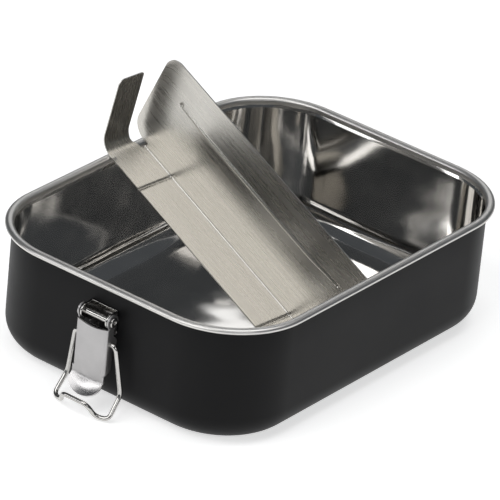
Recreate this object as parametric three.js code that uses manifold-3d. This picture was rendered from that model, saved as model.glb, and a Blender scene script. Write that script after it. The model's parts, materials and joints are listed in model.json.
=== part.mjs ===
// Metal lunch box: a drawn steel tray with a rolled rim, a lift-out divider and two wire-bail latches.
// Millimetres, +Z up. The origin is the centre of the tray's underside, +X along the long side.

import * as THREE from 'three';
import Module from 'manifold-3d';
import { mergeVertices } from 'three/addons/utils/BufferGeometryUtils.js';

const wasm = await Module();
wasm.setup();

const GAP = 0.3;

// tray
const TRAY_LENGTH = 200;
const TRAY_WIDTH = 150;
const TRAY_HEIGHT = 57;
const TRAY_CORNER = 38.8;
const SHEET = 0.8;
const RIM_OVERHANG = 3.2;
const RIM_HEIGHT = 2.6;
const RIM_ROUND = 1.2;
const BOTTOM_FILLET = 12.5;
const WALL_X = TRAY_LENGTH / 2 - RIM_OVERHANG;
const WALL_Y = TRAY_WIDTH / 2 - RIM_OVERHANG;
const WALL_CORNER = TRAY_CORNER - RIM_OVERHANG;

// divider: a foot, an upright web and four spring tabs bent from one sheet, leaning in the tray
const DIVIDER_SHEET = 0.6;
const DIVIDER_SPAN = 141.6;
const WEB_HEIGHT = 50.2;
const WEB_CORNER_TOP = 7;
const WEB_CORNER_BOTTOM = 9;
const FOOT_WIDTH = 20.4;
const FOOT_END = 8.7;
const CREASE_HEIGHT = 34;
const CREASE_DEPTH = 1.2;
const CREASE_END = 16.5;
const CREASE_FADE = 20;
const TAB_OUTER = 20.4;
const TAB_INNER = 5.4;
const TAB_HEIGHT = 35;
const TAB_LEAN = THREE.MathUtils.degToRad(12);
const TAB_BEND = 8;
const RELIEF_SIDE = 3;
const DIVIDER_TILT = THREE.MathUtils.degToRad(24.3);
const DIVIDER_TURN = THREE.MathUtils.degToRad(-5.9);
const DIVIDER_CENTRE = new THREE.Vector3(4.6, 13.35, 31.6);

// latch, drawn for the -X end; the pivot is where the lever turns on the base
const BASE_WIDTH = 14.4;
const BASE_SHEET = 0.8;
const BASE_TOP = 46.3;
const BASE_BOTTOM = 35;
const EAR_RADIUS = 3.1;
const PIVOT_OUT = 5.1;
const PIVOT_Z = 43;
const PIN_RADIUS = 1.4;
const PIN_BORE = 0.7;
const PIN_HEAD_RADIUS = 2.2;
const PIN_HEAD = 0.6;
const LEVER_WIDTH = 16.8;
const LEVER_SHEET = 0.8;
const LEVER_FACE_OUT = 8.6;
const LEVER_TOP = 40;
const LEVER_CREASE = 14.9;
const LEVER_TIP_LENGTH = 8.4;
const LEVER_TIP_ROUND = 6;
const LEVER_TOP_DIP = 1;
const LEVER_TIP_ANGLE = THREE.MathUtils.degToRad(40);
const FLANGE_BACK_OUT = 4;
const FLANGE_BOTTOM = 18.5;
const FLANGE_ROUND = 3.3;
const LOBE_RADIUS = 3.6;

// wire bail
const WIRE_RADIUS = 1.05;
const WIRE_SIDES = 10;
const WIRE_STEPS = 84;
const BAIL_OUT = 5.2;
const BAIL_Z = 32.5;
const BAIL_INSIDE = 6.6;
const BAIL_TOP_HALF = 10.9;
const KINK = new THREE.Vector3(-3.6, 14.4, 10.4);
const SHOULDER_OUTER = new THREE.Vector3(-11, 14.9, 1.4);
const SHOULDER_INNER = new THREE.Vector3(-12.9, 9.3, 1.4);
const BAR_END = new THREE.Vector3(-16.2, 6.6, 7.2);
const WIRE_BEND = 2.6;

const BLACK_COAT = { color: 0x1a1a1b, roughness: 0.6, metalness: 0.1 };
const BRUSHED_STEEL = { color: 0xb0ab9f, roughness: 0.42, metalness: 1 };
const LATCH_STEEL = { color: 0xc4c1bb, roughness: 0.3, metalness: 1 };

// a closed three.js geometry as a manifold solid
function solid(geometry) {
  const bare = geometry.clone();
  bare.deleteAttribute('normal');
  bare.deleteAttribute('uv');
  const merged = mergeVertices(bare, 1e-4);
  return new wasm.Manifold(new wasm.Mesh({
    numProp: 3,
    vertProperties: new Float32Array(merged.attributes.position.array),
    triVerts: new Uint32Array(merged.index.array),
  }));
}

function geometryOf(manifold) {
  const mesh = manifold.getMesh();
  const indexed = new THREE.BufferGeometry();
  indexed.setAttribute('position', new THREE.BufferAttribute(mesh.vertProperties, 3));
  indexed.setIndex(new THREE.BufferAttribute(mesh.triVerts, 1));
  const flat = indexed.toNonIndexed();
  flat.computeVertexNormals();
  return flat;
}

function part(name, manifold, look) {
  const mesh = new THREE.Mesh(geometryOf(manifold), new THREE.MeshStandardMaterial(look));
  mesh.name = name;
  return mesh;
}

function block(x0, x1, y0, y1, z0, z1) {
  const geometry = new THREE.BoxGeometry(x1 - x0, y1 - y0, z1 - z0);
  geometry.translate((x0 + x1) / 2, (y0 + y1) / 2, (z0 + z1) / 2);
  return solid(geometry);
}

// a round bar along Y
function barY(x, z, radius, y0, y1, sides = 20) {
  const geometry = new THREE.CylinderGeometry(radius, radius, y1 - y0, sides);
  geometry.translate(x, (y0 + y1) / 2, z);
  return solid(geometry);
}

// a shape drawn in X and Z, thickened along Y from y0 to y1
function slabXZ(shape, y0, y1, curveSegments = 6) {
  const geometry = new THREE.ExtrudeGeometry(shape, { depth: y1 - y0, bevelEnabled: false, curveSegments });
  geometry.rotateX(Math.PI / 2);
  geometry.translate(0, y1, 0);
  return solid(geometry);
}

// a shape drawn in Y and Z, thickened along X from x0 to x1
function slabYZ(shape, x0, x1, curveSegments = 8) {
  const geometry = new THREE.ExtrudeGeometry(shape, { depth: x1 - x0, bevelEnabled: false, curveSegments });
  geometry.rotateY(Math.PI / 2);
  geometry.rotateX(Math.PI / 2);
  geometry.translate(x0, 0, 0);
  return solid(geometry);
}

function roundedRectangle(halfX, halfY, radius) {
  const shape = new THREE.Shape();
  shape.moveTo(halfX - radius, -halfY);
  shape.absarc(halfX - radius, -halfY + radius, radius, -Math.PI / 2, 0);
  shape.absarc(halfX - radius, halfY - radius, radius, 0, Math.PI / 2);
  shape.absarc(-halfX + radius, halfY - radius, radius, Math.PI / 2, Math.PI);
  shape.absarc(-halfX + radius, -halfY + radius, radius, Math.PI, Math.PI * 1.5);
  shape.closePath();
  return shape;
}

// a pan-shaped block with a filleted bottom, open-ended upwards to zTop
function panBlock(inset, zTop) {
  const fillet = BOTTOM_FILLET - inset;
  const shape = roundedRectangle(WALL_X - inset, WALL_Y - inset, WALL_CORNER - inset);
  const geometry = new THREE.ExtrudeGeometry(shape, {
    depth: zTop,
    bevelThickness: fillet,
    bevelSize: fillet,
    bevelOffset: -fillet,
    bevelSegments: 5,
    curveSegments: 6,
  });
  geometry.translate(0, 0, inset + fillet);
  const reach = TRAY_LENGTH;
  return solid(geometry).subtract(block(-reach, reach, -reach, reach, zTop, zTop + reach));
}

function rolledRim() {
  const round = RIM_ROUND;
  const shape = roundedRectangle(TRAY_LENGTH / 2, TRAY_WIDTH / 2, TRAY_CORNER);
  const inset = RIM_OVERHANG + SHEET;
  shape.holes.push(roundedRectangle(TRAY_LENGTH / 2 - inset, TRAY_WIDTH / 2 - inset, TRAY_CORNER - inset));
  const geometry = new THREE.ExtrudeGeometry(shape, {
    depth: RIM_HEIGHT - 2 * round,
    bevelThickness: round,
    bevelSize: round,
    bevelOffset: -round,
    bevelSegments: 2,
    curveSegments: 6,
  });
  geometry.translate(0, 0, TRAY_HEIGHT - RIM_HEIGHT + round);
  return solid(geometry);
}

function pan() {
  const wallTop = TRAY_HEIGHT - RIM_HEIGHT / 2;
  const shell = panBlock(0, wallTop).subtract(panBlock(SHEET, wallTop + SHEET));
  return shell.add(rolledRim());
}

// the divider's upright web: Y along the divider, Z up
function webShape() {
  const end = DIVIDER_SPAN / 2;
  const shape = new THREE.Shape();
  shape.moveTo(-end + WEB_CORNER_BOTTOM, 0);
  shape.lineTo(end - WEB_CORNER_BOTTOM, 0);
  shape.absarc(end - WEB_CORNER_BOTTOM, WEB_CORNER_BOTTOM, WEB_CORNER_BOTTOM, -Math.PI / 2, 0);
  shape.absarc(end - WEB_CORNER_TOP, WEB_HEIGHT - WEB_CORNER_TOP, WEB_CORNER_TOP, 0, Math.PI / 2);
  shape.absarc(-end + WEB_CORNER_TOP, WEB_HEIGHT - WEB_CORNER_TOP, WEB_CORNER_TOP, Math.PI / 2, Math.PI);
  shape.absarc(-end + WEB_CORNER_BOTTOM, WEB_CORNER_BOTTOM, WEB_CORNER_BOTTOM, Math.PI, Math.PI * 1.5);
  shape.closePath();
  return shape;
}

// the upright web: a flat sheet pushed sideways by a long shallow crease that dies out before each end
function web() {
  const sheet = new THREE.BoxGeometry(DIVIDER_SHEET, DIVIDER_SPAN, WEB_HEIGHT, 1, 30, 2);
  sheet.translate(-DIVIDER_SHEET / 2, 0, WEB_HEIGHT / 2);
  const corners = sheet.attributes.position;
  for (let i = 0; i < corners.count; i += 1) {
    const onCrease = Math.abs(corners.getZ(i) - WEB_HEIGHT / 2) < 1;
    if (onCrease) {
      const fromEnd = DIVIDER_SPAN / 2 - Math.abs(corners.getY(i));
      const fade = THREE.MathUtils.smoothstep(fromEnd, CREASE_END, CREASE_END + CREASE_FADE);
      corners.setX(i, corners.getX(i) - CREASE_DEPTH * fade);
      corners.setZ(i, CREASE_HEIGHT);
    }
  }
  return solid(sheet).intersect(slabYZ(webShape(), -2 * CREASE_DEPTH, 1));
}

// the foot's section along the divider: flat on the floor, then a round bend up to a leaning spring tab
function footProfile() {
  const t = DIVIDER_SHEET;
  const bendStart = DIVIDER_SPAN / 2 - FOOT_END;
  const turn = Math.PI / 2 - TAB_LEAN;
  const centreZ = TAB_BEND;
  const rise = TAB_HEIGHT - centreZ * (1 - Math.cos(turn));
  const tipY = bendStart + centreZ * Math.sin(turn) + rise * Math.tan(TAB_LEAN);
  const inner = TAB_BEND - t;
  const shape = new THREE.Shape();
  shape.moveTo(-bendStart, 0);
  shape.lineTo(bendStart, 0);
  shape.absarc(bendStart, centreZ, TAB_BEND, -Math.PI / 2, -TAB_LEAN, false);
  shape.lineTo(tipY, TAB_HEIGHT);
  shape.lineTo(tipY - t / Math.cos(TAB_LEAN), TAB_HEIGHT);
  shape.absarc(bendStart, centreZ, inner, -TAB_LEAN, -Math.PI / 2, true);
  shape.absarc(-bendStart, centreZ, inner, -Math.PI / 2, Math.PI + TAB_LEAN, true);
  shape.lineTo(-tipY + t / Math.cos(TAB_LEAN), TAB_HEIGHT);
  shape.lineTo(-tipY, TAB_HEIGHT);
  shape.absarc(-bendStart, centreZ, TAB_BEND, Math.PI + TAB_LEAN, Math.PI * 1.5, false);
  shape.closePath();
  return shape;
}

// the foot across its width, with a slot between each tab and the web
function foot() {
  const reach = DIVIDER_SPAN;
  const bendStart = DIVIDER_SPAN / 2 - FOOT_END;
  let body = slabYZ(footProfile(), -FOOT_WIDTH, -DIVIDER_SHEET / 2);
  for (const side of [-1, 1]) {
    const inner = side * bendStart;
    const outer = side * reach;
    body = body.subtract(block(-TAB_INNER, 1, Math.min(inner, outer), Math.max(inner, outer), -1, reach));
  }
  return body;
}

function divider() {
  const bendStart = DIVIDER_SPAN / 2 - FOOT_END;
  const half = RELIEF_SIDE / 2;
  let sheet = foot().add(web());
  for (const side of [-1, 1]) {
    const y = side * bendStart;
    sheet = sheet.subtract(block(-RELIEF_SIDE, 1, y - half, y + half, -1, RELIEF_SIDE - half));
  }
  return sheet;
}

// the latch base: a plate on the wall and two ears that carry the pin
function latchBase() {
  const back = -GAP;
  const ear = new THREE.Shape();
  ear.moveTo(back, BASE_BOTTOM + 1);
  ear.lineTo(back, BASE_TOP);
  ear.lineTo(-PIVOT_OUT, PIVOT_Z + EAR_RADIUS);
  ear.absarc(-PIVOT_OUT, PIVOT_Z, EAR_RADIUS, Math.PI / 2, Math.PI * 1.25, false);
  ear.closePath();
  const half = BASE_WIDTH / 2;
  const plate = block(back - BASE_SHEET, back, -half, half, BASE_BOTTOM, BASE_TOP);
  const ears = [-1, 1].map((side) => {
    const inner = side * (half - BASE_SHEET);
    return slabXZ(ear, Math.min(inner, side * half), Math.max(inner, side * half));
  });
  const bore = barY(-PIVOT_OUT, PIVOT_Z, PIN_RADIUS + GAP, -half - 1, half + 1);
  return plate.add(ears[0]).add(ears[1]).subtract(bore);
}

// a hollow rivet with a flat head at each end
function hingePin() {
  const face = LEVER_WIDTH / 2 + GAP;
  const shaft = barY(-PIVOT_OUT, PIVOT_Z, PIN_RADIUS, -face, face);
  const heads = [-1, 1].map((side) => {
    const ends = [side * face, side * (face + PIN_HEAD)];
    return barY(-PIVOT_OUT, PIVOT_Z, PIN_HEAD_RADIUS, Math.min(...ends), Math.max(...ends));
  });
  const tip = face + PIN_HEAD;
  const bore = barY(-PIVOT_OUT, PIVOT_Z, PIN_BORE, -tip - 1, tip + 1, 16);
  return shaft.add(heads[0]).add(heads[1]).subtract(bore);
}

// the lever's side flange: an eye round the pin, a lobe round the wire's hole, then a straight strip
function flangeShape() {
  const front = -LEVER_FACE_OUT;
  const back = -FLANGE_BACK_OUT;
  const strip = (LEVER_FACE_OUT - FLANGE_BACK_OUT) / 2;
  const shape = new THREE.Shape();
  shape.moveTo(front, FLANGE_BOTTOM + strip);
  shape.absarc(front + strip, FLANGE_BOTTOM + strip, strip, Math.PI, 2 * Math.PI, false);
  shape.lineTo(back, PIVOT_Z);
  shape.lineTo(-PIVOT_OUT, PIVOT_Z);
  shape.lineTo(front, LEVER_TOP);
  shape.closePath();
  return shape;
}

function flange(y0, y1) {
  const strip = slabXZ(flangeShape(), y0, y1);
  const eye = barY(-PIVOT_OUT, PIVOT_Z, FLANGE_ROUND, y0, y1);
  const lobe = barY(-BAIL_OUT, BAIL_Z, LOBE_RADIUS, y0, y1);
  return strip.add(eye).add(lobe);
}

// the lever's front plate and its thumb tip, as a section along Z
function leverSection() {
  const tip = new THREE.Vector2(Math.sin(LEVER_TIP_ANGLE), Math.cos(LEVER_TIP_ANGLE));
  const endX = -LEVER_FACE_OUT - tip.x * LEVER_TIP_LENGTH;
  const endZ = LEVER_CREASE - tip.y * LEVER_TIP_LENGTH;
  const shape = new THREE.Shape();
  shape.moveTo(-LEVER_FACE_OUT, LEVER_TOP);
  shape.lineTo(-LEVER_FACE_OUT, LEVER_CREASE);
  shape.lineTo(endX, endZ);
  shape.lineTo(endX + tip.y * LEVER_SHEET, endZ - tip.x * LEVER_SHEET);
  shape.lineTo(-LEVER_FACE_OUT + LEVER_SHEET, LEVER_CREASE);
  shape.lineTo(-LEVER_FACE_OUT + LEVER_SHEET, LEVER_TOP);
  shape.closePath();
  return shape;
}

// the lever's outline from the front: a hollowed top edge and a round tip
function leverOutline() {
  const half = LEVER_WIDTH / 2;
  const roundZ = LEVER_CREASE - LEVER_TIP_LENGTH + LEVER_TIP_ROUND;
  const shape = new THREE.Shape();
  shape.moveTo(-half, LEVER_TOP);
  shape.lineTo(-half, roundZ);
  shape.absellipse(0, roundZ, half, LEVER_TIP_ROUND, Math.PI, 2 * Math.PI, false);
  shape.lineTo(half, LEVER_TOP);
  shape.quadraticCurveTo(0, LEVER_TOP - 2 * LEVER_TOP_DIP, -half, LEVER_TOP);
  return shape;
}

function lever() {
  const half = LEVER_WIDTH / 2;
  const plate = slabXZ(leverSection(), -half, half).intersect(slabYZ(leverOutline(), -2 * LEVER_FACE_OUT, 0));
  const bores = barY(-PIVOT_OUT, PIVOT_Z, PIN_RADIUS + GAP, -half - 1, half + 1)
    .add(barY(-BAIL_OUT, BAIL_Z, WIRE_RADIUS + GAP, -half - 1, half + 1));
  return plate
    .add(flange(-half, -half + LEVER_SHEET))
    .add(flange(half - LEVER_SHEET, half))
    .subtract(bores);
}

// straight runs joined by round bends: each inner point is replaced by a curve that starts reach before it
function bentPath(points, reach) {
  const path = new THREE.CurvePath();
  let from = points[0];
  for (let i = 1; i < points.length - 1; i += 1) {
    const corner = points[i];
    const before = corner.clone().lerp(points[i - 1], reach / corner.distanceTo(points[i - 1]));
    const after = corner.clone().lerp(points[i + 1], reach / corner.distanceTo(points[i + 1]));
    path.add(new THREE.LineCurve3(from, before));
    path.add(new THREE.QuadraticBezierCurve3(before, corner, after));
    from = after;
  }
  path.add(new THREE.LineCurve3(from, points[points.length - 1]));
  return path;
}

function wire(path, radius, steps) {
  const section = new THREE.Shape();
  section.absarc(0, 0, radius, 0, 2 * Math.PI);
  const geometry = new THREE.ExtrudeGeometry(section, {
    steps,
    curveSegments: WIRE_SIDES / 2,
    extrudePath: path,
    bevelEnabled: false,
  });
  return solid(geometry);
}

// the bail: both arms, the outward hook with its two shoulders, and the recessed bar between them
function bail() {
  const half = [
    new THREE.Vector3(-BAIL_OUT, BAIL_INSIDE, BAIL_Z),
    new THREE.Vector3(-BAIL_OUT, BAIL_TOP_HALF, BAIL_Z),
    KINK,
    SHOULDER_OUTER,
    SHOULDER_INNER,
    BAR_END,
  ];
  const mirrored = half.map((p) => new THREE.Vector3(p.x, -p.y, p.z)).reverse();
  return wire(bentPath([...half, ...mirrored], WIRE_BEND), WIRE_RADIUS, WIRE_STEPS);
}

const lunchBox = new THREE.Group();
lunchBox.add(part('pan', pan(), BLACK_COAT));

const dividerMesh = part('divider', divider(), BRUSHED_STEEL);
dividerMesh.position.copy(DIVIDER_CENTRE);
dividerMesh.rotation.set(DIVIDER_TILT, 0, DIVIDER_TURN, 'ZYX');
lunchBox.add(dividerMesh);

// each latch is drawn with the wall at x = 0 and stands out along -X
for (const side of ['left', 'right']) {
  const latch = new THREE.Group();
  latch.add(part(`${side}_latch_base`, latchBase(), LATCH_STEEL));
  latch.add(part(`${side}_hinge_pin`, hingePin(), LATCH_STEEL));
  latch.add(part(`${side}_lever`, lever(), LATCH_STEEL));
  latch.add(part(`${side}_bail`, bail(), LATCH_STEEL));
  latch.position.x = side === 'left' ? -WALL_X : WALL_X;
  latch.rotation.z = side === 'left' ? 0 : Math.PI;
  lunchBox.add(latch);
}

export default lunchBox;
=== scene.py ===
import json
import math
import bpy
import bmesh
from mathutils import Matrix, Vector


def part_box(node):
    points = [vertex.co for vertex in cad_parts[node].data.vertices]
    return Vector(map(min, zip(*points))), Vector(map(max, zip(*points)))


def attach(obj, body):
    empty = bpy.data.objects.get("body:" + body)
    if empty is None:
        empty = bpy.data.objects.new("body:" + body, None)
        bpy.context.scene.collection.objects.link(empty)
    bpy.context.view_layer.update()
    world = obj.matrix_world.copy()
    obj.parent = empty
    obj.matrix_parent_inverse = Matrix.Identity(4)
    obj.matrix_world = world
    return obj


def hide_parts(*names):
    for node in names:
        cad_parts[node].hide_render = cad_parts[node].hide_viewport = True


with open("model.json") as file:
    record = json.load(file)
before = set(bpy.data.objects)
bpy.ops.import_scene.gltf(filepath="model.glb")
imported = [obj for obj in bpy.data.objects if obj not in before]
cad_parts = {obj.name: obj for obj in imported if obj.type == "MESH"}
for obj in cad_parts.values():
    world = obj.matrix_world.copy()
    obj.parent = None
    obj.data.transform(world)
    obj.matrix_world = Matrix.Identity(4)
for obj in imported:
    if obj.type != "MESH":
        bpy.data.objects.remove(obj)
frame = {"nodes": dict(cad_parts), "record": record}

# metal lunch box: a coated steel tray with a bare lining, a loose divider and two wire-bail latches
mm = 0.001
scene = bpy.context.scene
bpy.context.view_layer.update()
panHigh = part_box("pan")[1]
print("frame loaded:", len(frame["nodes"]), "nodes")


def newMaterial(name, metallic, roughness, colour):
    material = bpy.data.materials.new(name)
    material.use_nodes = True
    shader = material.node_tree.nodes["Principled BSDF"]
    shader.inputs["Metallic"].default_value = metallic
    shader.inputs["Roughness"].default_value = roughness
    shader.inputs["Base Color"].default_value = (*colour, 1)
    return material, shader


def coords(material, scale, kind="Object"):
    nodes, links = material.node_tree.nodes, material.node_tree.links
    source = nodes.new("ShaderNodeTexCoord")
    mapping = nodes.new("ShaderNodeMapping")
    mapping.inputs["Scale"].default_value = scale
    links.new(source.outputs[kind], mapping.inputs["Vector"])
    return mapping.outputs["Vector"]


def noise(material, vector, scale, detail=3, rough=0.5):
    node = material.node_tree.nodes.new("ShaderNodeTexNoise")
    node.inputs["Scale"].default_value = scale
    node.inputs["Detail"].default_value = detail
    node.inputs["Roughness"].default_value = rough
    material.node_tree.links.new(vector, node.inputs["Vector"])
    return node.outputs["Fac"]


def remap(material, value, fromLow, fromHigh, toLow, toHigh):
    node = material.node_tree.nodes.new("ShaderNodeMapRange")
    node.inputs["From Min"].default_value = fromLow
    node.inputs["From Max"].default_value = fromHigh
    node.inputs["To Min"].default_value = toLow
    node.inputs["To Max"].default_value = toHigh
    material.node_tree.links.new(value, node.inputs["Value"])
    return node.outputs["Result"]


def tint(material, value, dark, light, low=0.3, high=0.7):
    ramp = material.node_tree.nodes.new("ShaderNodeValToRGB")
    ramp.color_ramp.elements[0].position = low
    ramp.color_ramp.elements[1].position = high
    ramp.color_ramp.elements[0].color = (*dark, 1)
    ramp.color_ramp.elements[1].color = (*light, 1)
    material.node_tree.links.new(value, ramp.inputs["Fac"])
    return ramp.outputs["Color"]


def bump(material, shader, height, strength, distance, under=None):
    node = material.node_tree.nodes.new("ShaderNodeBump")
    node.inputs["Strength"].default_value = strength
    node.inputs["Distance"].default_value = distance
    material.node_tree.links.new(height, node.inputs["Height"])
    if under is not None:
        material.node_tree.links.new(under, node.inputs["Normal"])
    material.node_tree.links.new(node.outputs["Normal"], shader.inputs["Normal"])
    return node.outputs["Normal"]


def combine(material, operation, first, second):
    node = material.node_tree.nodes.new("ShaderNodeMath")
    node.operation = operation
    material.node_tree.links.new(first, node.inputs[0])
    material.node_tree.links.new(second, node.inputs[1])
    return node.outputs["Value"]


def heightOf(material, vector):
    node = material.node_tree.nodes.new("ShaderNodeSeparateXYZ")
    material.node_tree.links.new(vector, node.inputs["Vector"])
    return node.outputs["Z"]


coatLook = {
    "dark": (0.0048, 0.0048, 0.0052),
    "light": (0.0075, 0.0075, 0.008),
    "specular": 0.12,
    "roughness": (0.42, 0.5),
    "cloudScale": 28,
    "grainScale": 2200,
    "grainStrength": 0.12,
    "grainHeight": 0.08 * mm,
}


def powderCoatBlack():
    material, shader = newMaterial("powder_coat_black", 0, 0.5, (0.006, 0.006, 0.0065))
    shader.inputs["Specular IOR Level"].default_value = coatLook["specular"]
    link = material.node_tree.links.new
    even = coords(material, (1, 1, 1))
    grain = noise(material, even, coatLook["grainScale"], 2, 0.6)
    cloud = noise(material, even, coatLook["cloudScale"], 4, 0.55)
    link(tint(material, cloud, coatLook["dark"], coatLook["light"]), shader.inputs["Base Color"])
    link(remap(material, cloud, 0.3, 0.7, *coatLook["roughness"]), shader.inputs["Roughness"])
    bump(material, shader, grain, coatLook["grainStrength"], coatLook["grainHeight"])
    return material


liningLook = {
    "dark": (0.61, 0.6, 0.585),
    "light": (0.70, 0.685, 0.66),
    "roughness": (0.05, 0.12),
    "smearScale": 45,
    "rimFrom": (53.6 * mm, 54.6 * mm),
    "rimRoughness": 0.3,
    "calmFrom": (52.5 * mm, 54 * mm),
    "waveScale": 17,
    "waveStrength": 0.8,
    "waveHeight": 1.6 * mm,
    "rippleScale": 55,
    "rippleStrength": 0.25,
    "rippleHeight": 0.25 * mm,
}


def polishedInside():
    material, shader = newMaterial("polished_inside", 1, 0.08, (0.66, 0.65, 0.63))
    link = material.node_tree.links.new
    even = coords(material, (1, 1, 1))
    wave = noise(material, even, liningLook["waveScale"], 2, 0.35)
    ripple = noise(material, even, liningLook["rippleScale"], 1, 0.3)
    smear = noise(material, even, liningLook["smearScale"], 5, 0.6)
    link(tint(material, smear, liningLook["dark"], liningLook["light"]), shader.inputs["Base Color"])
    # the rolled rim is duller than the drawn inside, and flat
    height = heightOf(material, even)
    onRim = remap(material, height, *liningLook["rimFrom"], 0, liningLook["rimRoughness"])
    polish = remap(material, smear, 0.3, 0.75, *liningLook["roughness"])
    link(combine(material, "ADD", polish, onRim), shader.inputs["Roughness"])
    inTray = remap(material, height, *liningLook["calmFrom"], 1, 0)
    wave = combine(material, "MULTIPLY", wave, inTray)
    ripple = combine(material, "MULTIPLY", ripple, inTray)
    soft = bump(material, shader, wave, liningLook["waveStrength"], liningLook["waveHeight"])
    bump(material, shader, ripple, liningLook["rippleStrength"], liningLook["rippleHeight"], soft)
    return material


sheetLook = {
    "dark": (0.52, 0.502, 0.467),
    "light": (0.56, 0.541, 0.505),
    "roughness": (0.24, 0.31),
    "stretch": 0.03,
    "hairScale": 6500,
    "hairStrength": 0.05,
    "hairHeight": 0.01 * mm,
    "bandScale": 700,
    "cloudScale": 26,
    "cloudStrength": 0.12,
    "cloudHeight": 0.3 * mm,
}


def brushedSheet():
    material, shader = newMaterial("brushed_sheet", 1, 0.3, (0.55, 0.53, 0.49))
    link = material.node_tree.links.new
    along = coords(material, (1, sheetLook["stretch"], 1), "UV")
    even = coords(material, (1, 1, 1))
    hairs = noise(material, along, sheetLook["hairScale"], 2, 0.5)
    bands = noise(material, along, sheetLook["bandScale"], 2, 0.5)
    cloud = noise(material, even, sheetLook["cloudScale"], 3, 0.5)
    link(tint(material, hairs, sheetLook["dark"], sheetLook["light"]), shader.inputs["Base Color"])
    link(remap(material, bands, 0.3, 0.7, *sheetLook["roughness"]), shader.inputs["Roughness"])
    soft = bump(material, shader, cloud, sheetLook["cloudStrength"], sheetLook["cloudHeight"])
    bump(material, shader, hairs, sheetLook["hairStrength"], sheetLook["hairHeight"], soft)
    return material


plateLook = {
    "dark": (0.385, 0.377, 0.377),
    "light": (0.44, 0.432, 0.432),
    "roughness": (0.36, 0.44),
    "speckScale": 3000,
    "speckStrength": 0.06,
    "speckHeight": 0.01 * mm,
    "cloudScale": 120,
    "wornFrom": (13.6 * mm, 15.2 * mm),
    "wornBy": -0.2,
}


def satinPlate():
    material, shader = newMaterial("satin_plate", 1, 0.4, (0.42, 0.41, 0.41))
    link = material.node_tree.links.new
    even = coords(material, (1, 1, 1))
    speck = noise(material, even, plateLook["speckScale"], 2, 0.5)
    cloud = noise(material, even, plateLook["cloudScale"], 3, 0.5)
    # the thumb tip below the crease is worn bright
    worn = remap(material, heightOf(material, even), *plateLook["wornFrom"], plateLook["wornBy"], 0)
    dull = remap(material, speck, 0.3, 0.7, *plateLook["roughness"])
    link(combine(material, "ADD", dull, worn), shader.inputs["Roughness"])
    link(tint(material, cloud, plateLook["dark"], plateLook["light"]), shader.inputs["Base Color"])
    bump(material, shader, speck, plateLook["speckStrength"], plateLook["speckHeight"])
    return material


wireLook = {
    "dark": (0.46, 0.45, 0.435),
    "light": (0.56, 0.55, 0.53),
    "roughness": (0.1, 0.2),
    "scuffScale": 500,
    "scuffStrength": 0.05,
    "scuffHeight": 0.02 * mm,
}


def polishedWire():
    material, shader = newMaterial("polished_wire", 1, 0.16, (0.52, 0.51, 0.49))
    link = material.node_tree.links.new
    even = coords(material, (1, 1, 1))
    scuff = noise(material, even, wireLook["scuffScale"], 4, 0.6)
    link(tint(material, scuff, wireLook["dark"], wireLook["light"]), shader.inputs["Base Color"])
    link(remap(material, scuff, 0.35, 0.75, *wireLook["roughness"]), shader.inputs["Roughness"])
    bump(material, shader, scuff, wireLook["scuffStrength"], wireLook["scuffHeight"])
    return material


# the divider's cut rims are real faces; their colour is lighter than the brushed faces as a painted highlight
# for the bright edge line
edgeHighlightLook = {
    "dark": (0.58, 0.57, 0.54),
    "light": (0.66, 0.65, 0.62),
    "roughness": (0.27, 0.34),
    "cloudScale": 60,
}


def cutEdgeHighlight():
    material, shader = newMaterial("sheared_edge_painted_highlight", 1, 0.3, (0.62, 0.61, 0.58))
    link = material.node_tree.links.new
    even = coords(material, (1, 1, 1))
    cloud = noise(material, even, edgeHighlightLook["cloudScale"], 2, 0.5)
    link(tint(material, cloud, edgeHighlightLook["dark"], edgeHighlightLook["light"]), shader.inputs["Base Color"])
    link(remap(material, cloud, 0.3, 0.7, *edgeHighlightLook["roughness"]), shader.inputs["Roughness"])
    return material


coat = powderCoatBlack()
lining = polishedInside()
brushed = brushedSheet()
satin = satinPlate()
wireSteel = polishedWire()
shearedEdgeHighlight = cutEdgeHighlight()
finishes = {
    "black_powder_coat": coat,
    "brushed_steel": brushed,
    "satin_steel": satin,
    "polished_steel": wireSteel,
}
for entry in frame["record"]["subparts"]:
    part = frame["nodes"][entry["node"]]
    part.data.materials.clear()
    part.data.materials.append(finishes[entry["material_slot"]])
print("finishes ready:", len(finishes) + 1)


def pieceFromFaces(name, points, faces, material, body, node, laidFlat=None):
    mesh = bpy.data.meshes.new(name)
    mesh.from_pydata([tuple(p) for p in points], [], faces)
    if laidFlat:
        layer = mesh.uv_layers.new(name="laid_flat")
        for loop in mesh.loops:
            layer.data[loop.index].uv = laidFlat[loop.vertex_index]
    work = bmesh.new()
    work.from_mesh(mesh)
    bmesh.ops.remove_doubles(work, verts=work.verts, dist=1e-6)
    bmesh.ops.recalc_face_normals(work, faces=work.faces)
    for face in work.faces:
        face.smooth = True
    work.to_mesh(mesh)
    work.free()
    mesh.materials.append(material)
    piece = bpy.data.objects.new(name, mesh)
    scene.collection.objects.link(piece)
    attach(piece, body)
    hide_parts(node)
    return piece


def gridFaces(rows, columns, start=0, closeRows=False, closeColumns=False):
    faces = []
    for i in range(rows if closeRows else rows - 1):
        for j in range(columns if closeColumns else columns - 1):
            a = start + i * columns + j
            b = start + i * columns + (j + 1) % columns
            c = start + ((i + 1) % rows) * columns + (j + 1) % columns
            d = start + ((i + 1) % rows) * columns + j
            faces.append((a, b, c, d))
    return faces


def softenEdges(piece, width, segments=2, angle=40):
    bevel = piece.modifiers.new("edge", "BEVEL")
    bevel.width = width
    bevel.segments = segments
    bevel.limit_method = "ANGLE"
    bevel.angle_limit = math.radians(angle)
    normals = piece.modifiers.new("normals", "WEIGHTED_NORMAL")
    normals.keep_sharp = False


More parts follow.
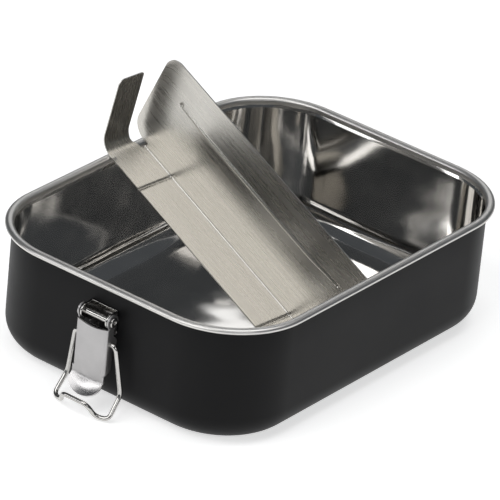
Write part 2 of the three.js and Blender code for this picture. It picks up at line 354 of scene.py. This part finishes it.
def arc(centreX, centreY, radius, fromAngle, toAngle, steps):
    turns = [math.radians(fromAngle + (toAngle - fromAngle) * i / steps) for i in range(steps + 1)]
    return [(centreX + radius * math.cos(a), centreY + radius * math.sin(a)) for a in turns]


def quarterTurn(steps, first=0):
    return [math.pi / 2 * k / steps for k in range(first, steps + 1)]


# every ring of the tray follows the rim's rounded rectangle, drawn in by an inset
trayBox = {
    "halfX": panHigh.x,
    "halfY": panHigh.y,
    "rimTop": panHigh.z,
    "corner": 38.8 * mm,
    "wall": 3.2 * mm,
    "sheet": 0.8 * mm,
    "fillet": 12.5 * mm,
    "rimHeight": 2.6 * mm,
    "cornerSteps": 24,
    "sideSteps": 10,
    "wallRings": (24 * mm, 40 * mm, 52 * mm),
    "skin": 0.35 * mm,  # how thick the lining and the coat are each drawn
    "liningTop": 54.1 * mm,
    "liningBottom": 0.45 * mm,
    "coatTop": 54.3 * mm,
    "coatLip": (0.05 * mm, 0.3 * mm),
}
ringCorners = [(1, 1), (-1, 1), (-1, -1), (1, -1)]


def ringPoints(inset, z):
    radius = trayBox["corner"] - inset
    cornerX = trayBox["halfX"] - trayBox["corner"]
    cornerY = trayBox["halfY"] - trayBox["corner"]
    points = []
    for turn, (signX, signY) in enumerate(ringCorners):
        fromAngle, toAngle = 90 * turn, 90 * turn + 90
        bend = arc(signX * cornerX, signY * cornerY, radius, fromAngle, toAngle, trayBox["cornerSteps"])
        points += bend
        nextX, nextY = ringCorners[(turn + 1) % 4]
        begin = Vector(bend[-1])
        end = Vector(arc(nextX * cornerX, nextY * cornerY, radius, toAngle, toAngle, 1)[0])
        points += [tuple(begin.lerp(end, k / trayBox["sideSteps"])) for k in range(1, trayBox["sideSteps"])]
    return [(x, y, z) for x, y in points]


def filletDown(inset, bottom, radius, steps=10):
    # quarter round from the wall down to the floor, as (inset, z)
    centre = inset + radius
    return [(centre - radius * math.cos(a), bottom + radius - radius * math.sin(a))
            for a in quarterTurn(steps)]


def trayShell(name, profile, material):
    points = []
    for inset, z in profile:
        points += ringPoints(inset, z)
    count = len(points) // len(profile)
    faces = gridFaces(len(profile), count, 0, False, True)
    first = list(range(count))
    last = [len(points) - count + k for k in range(count)]
    faces += [tuple(reversed(first)), tuple(last)]
    return pieceFromFaces(name, points, faces, material, "tray", "pan")


def rimRoll(fromAngle, toAngle, steps=18):
    # the rolled edge, wider than it is tall, as (inset, z)
    halfWide = (trayBox["wall"] + trayBox["sheet"]) / 2
    halfTall = trayBox["rimHeight"] / 2
    middleZ = trayBox["rimTop"] - halfTall
    turns = [math.radians(fromAngle + (toAngle - fromAngle) * k / steps) for k in range(steps + 1)]
    return [(halfWide - halfWide * math.cos(a), middleZ + halfTall * math.sin(a)) for a in turns]


def trayLining():
    t = trayBox
    inner = t["wall"] + t["sheet"]
    floor = filletDown(inner, t["sheet"], t["fillet"] - t["sheet"])
    back = inner - t["skin"]
    rear = filletDown(back, t["liningBottom"], t["fillet"] - t["liningBottom"])
    profile = list(reversed(floor)) + [(inner, z) for z in t["wallRings"]] + rimRoll(180, -110)
    profile += [(back, t["liningTop"]), (back, t["wallRings"][1])] + rear
    return trayShell("tray_lining_and_rim", profile, lining)


def trayCoat():
    t = trayBox
    outer = t["wall"]
    back = outer + t["skin"]
    inside = filletDown(back, t["skin"], t["fillet"] - t["skin"])
    lipIn, lipDown = t["coatLip"]
    lip = [(back, t["coatTop"]), (outer + lipIn, t["coatTop"]), (outer, t["coatTop"] - lipDown)]
    profile = list(reversed(inside)) + [(back, t["wallRings"][1])] + lip
    profile += [(outer, t["wallRings"][1]), (outer, t["wallRings"][0])]
    profile += filletDown(outer, 0, t["fillet"], 12)
    return trayShell("tray_outer_coat", profile, coat)


trayLining()
trayCoat()
print("tray made")

# the divider is one sheet with a foot, a web and two spring tabs, made in its own frame
dividerShape = {
    "span": 141.6 * mm,
    "height": 50.2 * mm,
    "sheet": 0.55 * mm,
    "foot": 20.4 * mm,
    "footEnd": 8.7 * mm,
    "tabInner": 5.6 * mm,
    "tabHeight": 35 * mm,
    "tabLean": 12,
    "tabBend": 7.7 * mm,
    "relief": 3 * mm,
    "bend": 1.3 * mm,
    "crease": 34 * mm,
    "creaseDepth": 1.2 * mm,
    "creaseEnd": 16.5 * mm,
    "creaseFade": 20 * mm,
    "cornerTop": 7 * mm,
    "cornerBottom": 9 * mm,
    "joggleAt": 20.4 * mm,
    "joggleDepth": 0.5 * mm,
    "joggleWidth": 0.8 * mm,
    "tabRound": 3 * mm,
    "tabNarrows": 4 * mm,
    "bead": 0.3 * mm,
    "beadWidth": 0.55 * mm,
    "beadFade": 0.5 * mm,
    "pinch": 1.1 * mm,
    "pinchWide": 1.4,
    "pinchLong": 0.7 * mm,
    "edgeAngle": 40,
    "lengthSteps": 97,
    "fineSteps": 13,
    "fineReach": 1.5 * mm,
    "fineClear": 1.9 * mm,
    "leastGap": 0.1 * mm,
    "place": Vector((4.6, 13.35, 31.6)) * mm,
    "tilt": 24.3,
    "turn": -5.9,
}


def smoothStep(x):
    x = max(0.0, min(1.0, x))
    return x * x * (3 - 2 * x)


def spread(low, high, count):
    return [low + (high - low) * k / (count - 1) for k in range(count)]


def webPoint(y, share):
    d = dividerShape
    fromEnd = d["span"] / 2 - abs(y)
    low, high = 0.0, d["height"]
    if fromEnd < d["cornerTop"]:
        high -= cornerCut(d["cornerTop"] - fromEnd, d["cornerTop"])
    if fromEnd < d["cornerBottom"]:
        low += cornerCut(d["cornerBottom"] - fromEnd, d["cornerBottom"])
    z = low + share * (high - low)
    fade = smoothStep((fromEnd - d["creaseEnd"]) / d["creaseFade"])
    below, above = z / d["crease"], (d["height"] - z) / (d["height"] - d["crease"])
    tent = min(below, above)
    aside = (z - d["crease"]) / d["beadWidth"]
    pastEnd = max(0, d["creaseEnd"] - fromEnd) / d["beadFade"]
    bead = d["bead"] * math.exp(-aside ** 2 - pastEnd ** 2)
    pinchAway = math.hypot(aside / d["pinchWide"], (fromEnd - d["creaseEnd"]) / d["pinchLong"])
    pinch = d["pinch"] * math.exp(-pinchAway ** 2)
    return (-d["sheet"] / 2 - d["creaseDepth"] * fade * tent - bead + pinch, y, z)


def footPoint(x, along):
    # along runs from the middle of the foot, past the bend and up the tab
    d = dividerShape
    side = 1 if along > 0 else -1
    flatEnd = d["span"] / 2 - d["footEnd"]
    beyond = abs(along) - flatEnd
    turn = math.radians(90 - d["tabLean"])
    z0 = d["sheet"] / 2
    if beyond <= 0:
        fromJoggle = (abs(along) - (flatEnd - d["joggleAt"])) / d["joggleWidth"]
        dip = -d["joggleDepth"] * math.exp(-fromJoggle ** 2)
        return (x, along, z0 + dip)
    bendLength = d["tabBend"] * turn
    a = min(beyond / d["tabBend"], turn)
    y = flatEnd + d["tabBend"] * math.sin(a)
    z = z0 + d["tabBend"] * (1 - math.cos(a))
    if beyond > bendLength:
        y += (beyond - bendLength) * math.cos(turn)
        z += (beyond - bendLength) * math.sin(turn)
    return (x, side * y, z)


def dividerSheet():
    d = dividerShape
    flatEnd = d["span"] / 2 - d["footEnd"]
    turn = math.radians(90 - d["tabLean"])
    tabRun = (d["tabHeight"] - d["tabBend"] * (1 - math.cos(turn))) / math.sin(turn)
    reach = flatEnd + d["tabBend"] * turn + tabRun
    holeIn = flatEnd - d["relief"] / 2
    holeOut = flatEnd + d["relief"] / 2
    half = d["span"] / 2
    points, faces, laidFlat = [], [], []

    def addGrid(rows, acrosses, alongs):
        start = len(points)
        for row, along in zip(rows, alongs):
            points.extend(row)
            laidFlat.extend((across, along) for across in acrosses)
        faces.extend(gridFaces(len(rows), len(rows[0]), start))

    # foot between the two relief holes, then the round bend, then the web
    reliefY = half - d["creaseEnd"]
    fine = [reliefY, flatEnd - d["joggleAt"]]
    steps = spread(-d["fineReach"], d["fineReach"], d["fineSteps"])
    closeUp = [side * place + step for side in (-1, 1) for place in fine for step in steps]
    wide = [y for y in spread(-holeIn, holeIn, d["lengthSteps"])
            if min(abs(abs(y) - place) for place in fine) > d["fineClear"]]
    shared = sorted(wide + closeUp)
    footX = spread(-d["foot"], -d["bend"], 11)
    addGrid([[footPoint(x, y) for x in footX] for y in shared], footX, shared)
    bendRows = []
    webFoot = 1.7 * d["bend"] / d["height"]
    radius = d["bend"] - d["sheet"] / 2
    for y in shared:
        base = footPoint(-d["bend"], y)
        row = [(-d["bend"] + radius * math.sin(a), y, base[2] + radius * (1 - math.cos(a)))
               for a in quarterTurn(6)]
        bendRows.append(row + [webPoint(y, webFoot)])
    addGrid(bendRows, spread(-d["bend"], d["bend"], 8), shared)
    crease = d["crease"] / d["height"]
    shares = [webFoot] + spread(0.07, crease - 0.045, 14) + spread(crease - 0.03, crease + 0.03, 13)
    shares += spread(crease + 0.045, 1.0, 9)
    webAcross = [share * d["height"] for share in shares]
    addGrid([[webPoint(y, share) for share in shares] for y in shared], webAcross, shared)
    for side in (-1, 1):
        roundOff = [half - d["cornerBottom"] * (1 - math.sin(math.pi / 2 * k / 18)) for k in range(19)]
        ends = [side * y for y in [holeIn] + [y for y in roundOff if y > holeIn + d["leastGap"]]]
        addGrid([[webPoint(y, share) for share in shares] for y in ends], webAcross, ends)
        # foot end and tab, cut back from the web, with rounded top corners
        tabStations = [holeIn, flatEnd] + spread(holeOut, reach - d["tabRound"], 26)
        tabStations += [reach - d["tabRound"] * (1 - math.sin(math.pi / 2 * k / 8)) for k in range(1, 9)]
        rows = []
        for s in tabStations:
            low, high = -d["foot"], -d["relief"]
            if s > flatEnd:
                high -= (d["tabInner"] - d["relief"]) * smoothStep((s - flatEnd) / d["tabNarrows"])
            low += cornerCut(s - (reach - d["tabRound"]), d["tabRound"])
            high -= cornerCut(s - (reach - d["tabRound"] / 2), d["tabRound"] / 2)
            rows.append([footPoint(x, side * s) for x in spread(low, high, 9)])
        addGrid(rows, spread(-d["foot"], -d["relief"], 9), [side * s for s in tabStations])
    piece = pieceFromFaces("divider_sheet", points, faces, brushed, "divider",
                           "divider", laidFlat)
    thick = piece.modifiers.new("sheet", "SOLIDIFY")
    thick.thickness = d["sheet"]
    thick.offset = 0
    # the cut rims take the lighter edge colour, a painted highlight
    piece.data.materials.append(shearedEdgeHighlight)
    thick.material_offset_rim = 1
    split = piece.modifiers.new("edge", "EDGE_SPLIT")
    split.split_angle = math.radians(d["edgeAngle"])
    return piece


def cornerCut(past, radius):
    # how much a rounded corner takes off the width, past its start
    return radius - math.sqrt(max(0, radius ** 2 - max(0, past) ** 2))


sheetPiece = dividerSheet()
turned = Matrix.Rotation(math.radians(dividerShape["turn"]), 4, "Z")
turned = turned @ Matrix.Rotation(math.radians(dividerShape["tilt"]), 4, "X")
sheetPiece.matrix_world = Matrix.Translation(dividerShape["place"]) @ turned
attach(sheetPiece, "divider")
print("divider made")

# both latches are drawn for the left end, with the wall's outside at x = 0
wallX = trayBox["halfX"] - trayBox["wall"]
latchPlaces = {
    "left": Matrix.Translation((-wallX, 0, 0)),
    "right": Matrix.Rotation(math.pi, 4, "Z") @ Matrix.Translation((-wallX, 0, 0)),
}
pivot = {"x": -5.1 * mm, "z": 43 * mm}
wireHole = {"x": -5.2 * mm, "z": 32.5 * mm}


def plateFaces(count):
    # two matching outlines of count points each, closed all round
    faces = [tuple(range(count)), tuple(reversed(range(count, 2 * count)))]
    faces += [(k, k + count, (k + 1) % count + count, (k + 1) % count) for k in range(count)]
    return faces


def outlinePiece(outline, lowY, highY):
    # a shape in x and z, made solid from lowY to highY
    points = [(x, lowY, z) for x, z in outline] + [(x, highY, z) for x, z in outline]
    return points, plateFaces(len(outline))


def joined(parts):
    points, faces = [], []
    for morePoints, moreFaces in parts:
        start = len(points)
        points += morePoints
        faces += [tuple(k + start for k in face) for face in moreFaces]
    return points, faces


def placed(points, side):
    return [tuple(latchPlaces[side] @ Vector(p)) for p in points]


latchBaseShape = {
    "half": 7.2 * mm,
    "sheet": 0.8 * mm,
    "top": 46.3 * mm,
    "bottom": 35 * mm,
    "offWall": 0.05 * mm,
    "earRadius": 3.1 * mm,
    "earRise": 1 * mm,
    "corner": 1.2 * mm,
    "edge": 0.14 * mm,
}


def latchBase(side):
    b = latchBaseShape
    back = -b["offWall"]
    face = back - b["sheet"]
    outline = [(back, b["bottom"] + b["earRise"]), (back, b["top"])]
    outline += arc(pivot["x"], pivot["z"], b["earRadius"], 90, 225, 14)
    ears = [outlinePiece(outline, -b["half"], -b["half"] + b["sheet"]),
            outlinePiece(outline, b["half"] - b["sheet"], b["half"])]
    corners = [(-b["half"], b["top"])]
    for cornerY, fromAngle in ((-b["half"] + b["corner"], 180), (b["half"] - b["corner"], 270)):
        corners += arc(cornerY, b["bottom"] + b["corner"], b["corner"], fromAngle, fromAngle + 90, 6)
    corners += [(b["half"], b["top"])]
    points = [(face, y, z) for y, z in corners] + [(back, y, z) for y, z in corners]
    points, faces = joined([(points, plateFaces(len(corners)))] + ears)
    piece = pieceFromFaces(f"{side}_latch_bracket", placed(points, side), faces, wireSteel, "tray",
                           f"{side}_latch_base")
    softenEdges(piece, b["edge"])
    return piece


rivetShape = {
    "shaft": 1.4 * mm,
    "bore": 0.75 * mm,
    "funnel": 0.5 * mm,
    "funnelMouth": 0.35 * mm,
    "head": 2.25 * mm,
    "headRoll": 0.5 * mm,
    "face": 8.65 * mm,
    "tall": 0.65 * mm,
    "rise": 0.15 * mm,
    "inset": 0.1 * mm,
    "steps": 40,
    "edge": 0.03 * mm,
}


def hollowRivet(side):
    v = rivetShape
    end = v["face"] + v["tall"]
    outer = [(v["shaft"], v["face"]), (v["head"] - v["inset"], v["face"]), (v["head"], v["face"] + v["rise"])]
    roll = []
    for a in quarterTurn(5, 1):
        inward = v["headRoll"] * (1 - math.cos(a))
        roll.append((v["head"] - inward, v["face"] + v["rise"] + v["headRoll"] * math.sin(a)))
    funnel = [(v["bore"] + v["funnelMouth"], end), (v["bore"] + v["inset"], end - v["rise"]),
              (v["bore"], end - v["funnel"])]
    half = outer + roll + funnel
    profile = half + [(r, -y) for r, y in reversed(half)]
    points = []
    for r, y in profile:
        for k in range(v["steps"]):
            a = 2 * math.pi * k / v["steps"]
            points.append((pivot["x"] + r * math.cos(a), y, pivot["z"] + r * math.sin(a)))
    faces = gridFaces(len(profile), v["steps"], 0, True, True)
    piece = pieceFromFaces(f"{side}_hollow_rivet", placed(points, side), faces, wireSteel, "tray",
                           f"{side}_hinge_pin")
    softenEdges(piece, v["edge"], 1)
    return piece


leverShape = {
    "half": 8.4 * mm,
    "sheet": 0.8 * mm,
    "face": 8.6 * mm,
    "top": 40 * mm,
    "topDip": 1 * mm,
    "crease": 14.9 * mm,
    "tipLength": 8.4 * mm,
    "tipAngle": 40,
    "tipRound": 6 * mm,
    "dish": 0.4 * mm,
    "back": 4 * mm,
    "bottom": 18.5 * mm,
    "eye": 3.3 * mm,
    "lobe": 3.6 * mm,
    "bend": 1 * mm,
    "flangeRound": 2.3 * mm,
    "flangeLower": (3 * mm, 28.6 * mm),  # the first is counted up from the bottom
    "flangeUpper": (29.2 * mm, 38.6 * mm),
    "leastFlange": 0.02 * mm,
    "aboveCrease": 0.5 * mm,
    "underFlange": 0.7 * mm,
    "overTop": 0.4 * mm,
    "edge": 0.16 * mm,
}


def flangeRear(z):
    # x of the flange's rear edge at this height, 0 at the wall and negative towards the front
    v = leverShape
    edge = -v["back"]
    turn = v["flangeRound"]
    if z < v["bottom"] + turn:
        k = (v["bottom"] + turn - z) / turn
        edge = -v["face"] + turn + turn * math.sqrt(max(0, 1 - k * k))
    for centre, radius in ((wireHole, v["lobe"]), (pivot, v["eye"])):
        h = z - centre["z"]
        if abs(h) < radius:
            edge = max(edge, centre["x"] + math.sqrt(radius ** 2 - h ** 2))
    if z > pivot["z"]:
        h = min(z - pivot["z"], v["eye"])
        edge = pivot["x"] + math.sqrt(max(0, v["eye"] ** 2 - h ** 2))
    return edge


def leverPiece(side):
    v = leverShape
    mid = v["half"] - v["sheet"] / 2
    front = -v["face"] + v["sheet"] / 2
    r = v["bend"]
    points, faces = [], []

    def addGrid(rows):
        start = len(points)
        for row in rows:
            points.extend(row)
        faces.extend(gridFaces(len(rows), len(rows[0]), start))

    def crossSection(z, rear):
        # from one flange's rear edge round the front plate to the other's
        flange = [(x, -mid) for x in spread(rear, front + r, 6)]
        bend = [(front + r - r * math.sin(a), -mid + r - r * math.cos(a))
                for a in quarterTurn(5, 1)]
        middle = [(front, y) for y in spread(-mid + r, mid - r, 15)[1:-1]]
        half = flange + bend
        return [(x, y, z) for x, y in half + middle + [(x, -y) for x, y in reversed(half)]]

    def plainRow(x, z, half, dish=0):
        # the plate alone, with as many points as a full section
        edge = [-half + (half - (mid - r)) * k / 11 for k in range(11)]
        ys = edge + spread(-mid + r, mid - r, 15)[1:-1] + [-y for y in reversed(edge)]
        deep = [dish * max(0, 1 - (y / half) ** 2) for y in ys]
        tip = math.radians(v["tipAngle"])
        return [(x + sink * math.cos(tip), y, z - sink * math.sin(tip)) for y, sink in zip(ys, deep)]

    def tipRow(down):
        # the thumb tip flares out from the crease, slightly dished, with a round end
        tip = math.radians(v["tipAngle"])
        near = down - (v["tipLength"] - v["tipRound"])
        share = 1 if near <= 0 else math.sqrt(max(0.0004, 1 - (near / v["tipRound"]) ** 2))
        x = front - down * math.sin(tip)
        z = v["crease"] - down * math.cos(tip)
        dish = v["dish"] * math.sin(math.pi * min(1, down / v["tipLength"]))
        row = plainRow(x, z, v["half"], dish)
        return [(px, py * share, pz) for px, py, pz in row]

    rows = [tipRow(v["tipLength"] * math.sin(math.pi / 2 * k / 16)) for k in range(16, 0, -1)]
    plateZ = (v["crease"], v["crease"] + v["aboveCrease"], v["bottom"] - v["underFlange"])
    rows += [plainRow(front, z, v["half"]) for z in plateZ]
    flangeZ = spread(v["bottom"], v["bottom"] + v["flangeRound"], 8)
    lowerFrom, lowerTo = v["flangeLower"]
    flangeZ += spread(v["bottom"] + lowerFrom, lowerTo, 8) + spread(*v["flangeUpper"], 20)
    for z in flangeZ:
        rear = max(flangeRear(z), front + r + v["leastFlange"])
        rows.append(crossSection(z, rear))
    # the top edge of the front plate is hollowed
    topRow = []
    for x, y, z in crossSection(v["top"], flangeRear(v["top"])):
        onPlate = abs(y) < mid - r and x <= front + 1e-9
        topRow.append((x, y, z - (v["topDip"] * (1 - (y / (mid - r)) ** 2) if onPlate else 0)))
    rows.append(topRow)
    addGrid(rows)
    # each flange carries on up to its eye
    eyeZ = [v["top"]] + spread(v["top"] + v["overTop"], pivot["z"] + v["eye"] * 0.9, 12)
    eyeZ += [pivot["z"] + v["eye"] * k for k in (0.95, 0.98, 0.9995)]
    for s in (-1, 1):
        upper = []
        for z in eyeZ:
            if z > pivot["z"]:
                frontX = pivot["x"] - math.sqrt(max(0, v["eye"] ** 2 - (z - pivot["z"]) ** 2))
            else:
                share = (z - v["top"]) / (pivot["z"] - v["top"])
                frontX = (front + r) + (pivot["x"] - v["eye"] - front - r) * smoothStep(share)
            rear = flangeRear(z) if z > v["top"] + 1e-9 else flangeRear(v["top"])
            upper.append([(x, s * mid, z) for x in spread(rear, frontX, 6)])
        addGrid(upper)
    piece = pieceFromFaces(f"{side}_latch_lever", placed(points, side), faces, satin, f"{side}_lever",
                           f"{side}_lever")
    thick = piece.modifiers.new("plate", "SOLIDIFY")
    thick.thickness = v["sheet"]
    thick.offset = 0
    softenEdges(piece, v["edge"])
    return piece


bailWire = {
    "radius": 1.05 * mm,
    "inside": 6.6 * mm,
    "topHalf": 10.9 * mm,
    "kink": Vector((-3.6, 14.4, 10.4)) * mm,
    "shoulderOuter": Vector((-11, 14.9, 1.4)) * mm,
    "shoulderInner": Vector((-12.9, 9.3, 1.4)) * mm,
    "barEnd": Vector((-16.2, 6.6, 7.2)) * mm,
    "bend": 2.6 * mm,
    "bendSteps": 8,
    "steps": 20,
    "edge": 0.12 * mm,
}


def wireBail(side):
    wire = bailWire
    bends, steps = wire["bendSteps"], wire["steps"]
    half = [Vector((wireHole["x"], y, wireHole["z"])) for y in (wire["inside"], wire["topHalf"])]
    half += [wire[name] for name in ("kink", "shoulderOuter", "shoulderInner", "barEnd")]
    corners = half + [Vector((p.x, -p.y, p.z)) for p in reversed(half)]
    route = [corners[0]]
    for before, corner, after in zip(corners, corners[1:], corners[2:]):
        start = corner + (before - corner).normalized() * wire["bend"]
        end = corner + (after - corner).normalized() * wire["bend"]
        route += [start.lerp(corner, k / bends).lerp(corner.lerp(end, k / bends), k / bends)
                  for k in range(bends + 1)]
    route.append(corners[-1])
    points = []
    normal = Vector((0, 0, 1))
    for k, p in enumerate(route):
        ahead = route[min(k + 1, len(route) - 1)] - route[max(k - 1, 0)]
        ahead.normalize()
        normal = (normal - ahead * normal.dot(ahead)).normalized()
        across = ahead.cross(normal)
        for j in range(steps):
            a = 2 * math.pi * j / steps
            outward = normal * math.cos(a) + across * math.sin(a)
            points.append(tuple(p + outward * wire["radius"]))
    faces = gridFaces(len(route), steps, 0, False, True)
    faces += [tuple(reversed(range(steps))), tuple(len(points) - steps + j for j in range(steps))]
    piece = pieceFromFaces(f"{side}_wire_bail", placed(points, side), faces, wireSteel, f"{side}_bail",
                           f"{side}_bail")
    softenEdges(piece, wire["edge"])
    return piece


for side in latchPlaces:
    latchBase(side)
    hollowRivet(side)
    leverPiece(side)
    wireBail(side)
print("latches made")


floorLook = {
    "half": 6,
    "below": 0.4 * mm,
    "glow": 0.62,
    "dark": (0.85, 0.85, 0.845),
    "light": (0.87, 0.87, 0.865),
    "cloudScale": 6,
}


def studioFloor():
    material, shader = newMaterial("studio_floor", 0, 0.85, (0.86, 0.86, 0.855))
    shader.inputs["Emission Color"].default_value = (1, 1, 1, 1)
    shader.inputs["Emission Strength"].default_value = floorLook["glow"]
    shader.inputs["Specular IOR Level"].default_value = 0
    even = coords(material, (1, 1, 1))
    cloud = noise(material, even, floorLook["cloudScale"], 2, 0.4)
    shade = tint(material, cloud, floorLook["dark"], floorLook["light"])
    material.node_tree.links.new(shade, shader.inputs["Base Color"])
    half = floorLook["half"]
    corners = [(x * half, y * half, -floorLook["below"]) for x, y in ((-1, -1), (1, -1), (1, 1), (-1, 1))]
    mesh = bpy.data.meshes.new("studio_floor")
    mesh.from_pydata(corners, [], [(0, 1, 2, 3)])
    mesh.materials.append(material)
    floor = bpy.data.objects.new("studio_floor", mesh)
    scene.collection.objects.link(floor)


# power in watts, then the panel's size, where it stands and what it points at, in metres
lamps = {
    "top_panel": {"power": 10, "size": (1.2, 1.2), "place": (0.3, -0.2, 1.9), "aim": (0, 0, 0)},
    "side_panel": {"power": 10, "size": (1.2, 1.2), "place": (-1.05, 0.2, 1.25), "aim": (0, 0, 0.05)},
    "back_panel": {"power": 1.7, "size": (0.9, 0.45), "place": (1.2, 0.87, 0.85), "aim": (0, 0, 0.05)},
    "left_strip": {"power": 2, "size": (0.2, 0.8), "place": (-1.1, 0.9, 0.62), "aim": (0, 0, 0.05)},
    "front_panel": {"power": 3, "size": (0.7, 0.7), "place": (-0.8, -1.4, 1.0), "aim": (0, 0, 0.05)},
}
skyGlow = {"colour": (0.85, 0.92, 1, 1), "strength": 0.09}


def areaLight(name, power, size, place, aim):
    data = bpy.data.lights.new(name, "AREA")
    data.shape = "RECTANGLE"
    data.energy = power
    data.size, data.size_y = size
    lamp = bpy.data.objects.new(name, data)
    lamp.location = place
    lamp.rotation_mode = "QUATERNION"
    lamp.rotation_quaternion = (Vector(aim) - Vector(place)).to_track_quat("-Z", "Y")
    scene.collection.objects.link(lamp)


def studioLights():
    for name, lamp in lamps.items():
        areaLight(name, **lamp)
    world = bpy.data.worlds.new("studio")
    world.use_nodes = True
    background = world.node_tree.nodes["Background"]
    background.inputs["Color"].default_value = skyGlow["colour"]
    background.inputs["Strength"].default_value = skyGlow["strength"]
    scene.world = world


view = {
    "azimuth": -54.09,
    "elevation": 28.21,
    "roll": -5.744,
    "distance": 2.4735,
    "aim": Vector((12.68, 8.52, 28.46)) * mm,
    "lens": 412.03,
    "sensor": 36,
}


def mainCamera():
    turn, lift = math.radians(view["azimuth"]), math.radians(view["elevation"])
    level = math.cos(lift)
    back = Vector((math.sin(turn) * level, -math.cos(turn) * level, math.sin(lift)))
    data = bpy.data.cameras.new("main_camera")
    data.sensor_width = view["sensor"]
    data.lens = view["lens"]
    data.clip_start = 0.1
    data.clip_end = 50
    camera = bpy.data.objects.new("main_camera", data)
    camera.rotation_mode = "QUATERNION"
    upright = (-back).to_track_quat("-Z", "Y")
    roll = Matrix.Rotation(math.radians(-view["roll"]), 3, "Z").to_quaternion()
    camera.rotation_quaternion = upright @ roll
    camera.location = view["aim"] + back * view["distance"]
    scene.collection.objects.link(camera)
    scene.camera = camera


studioFloor()
studioLights()
mainCamera()
scene.view_settings.view_transform = "Standard"
print("studio made")
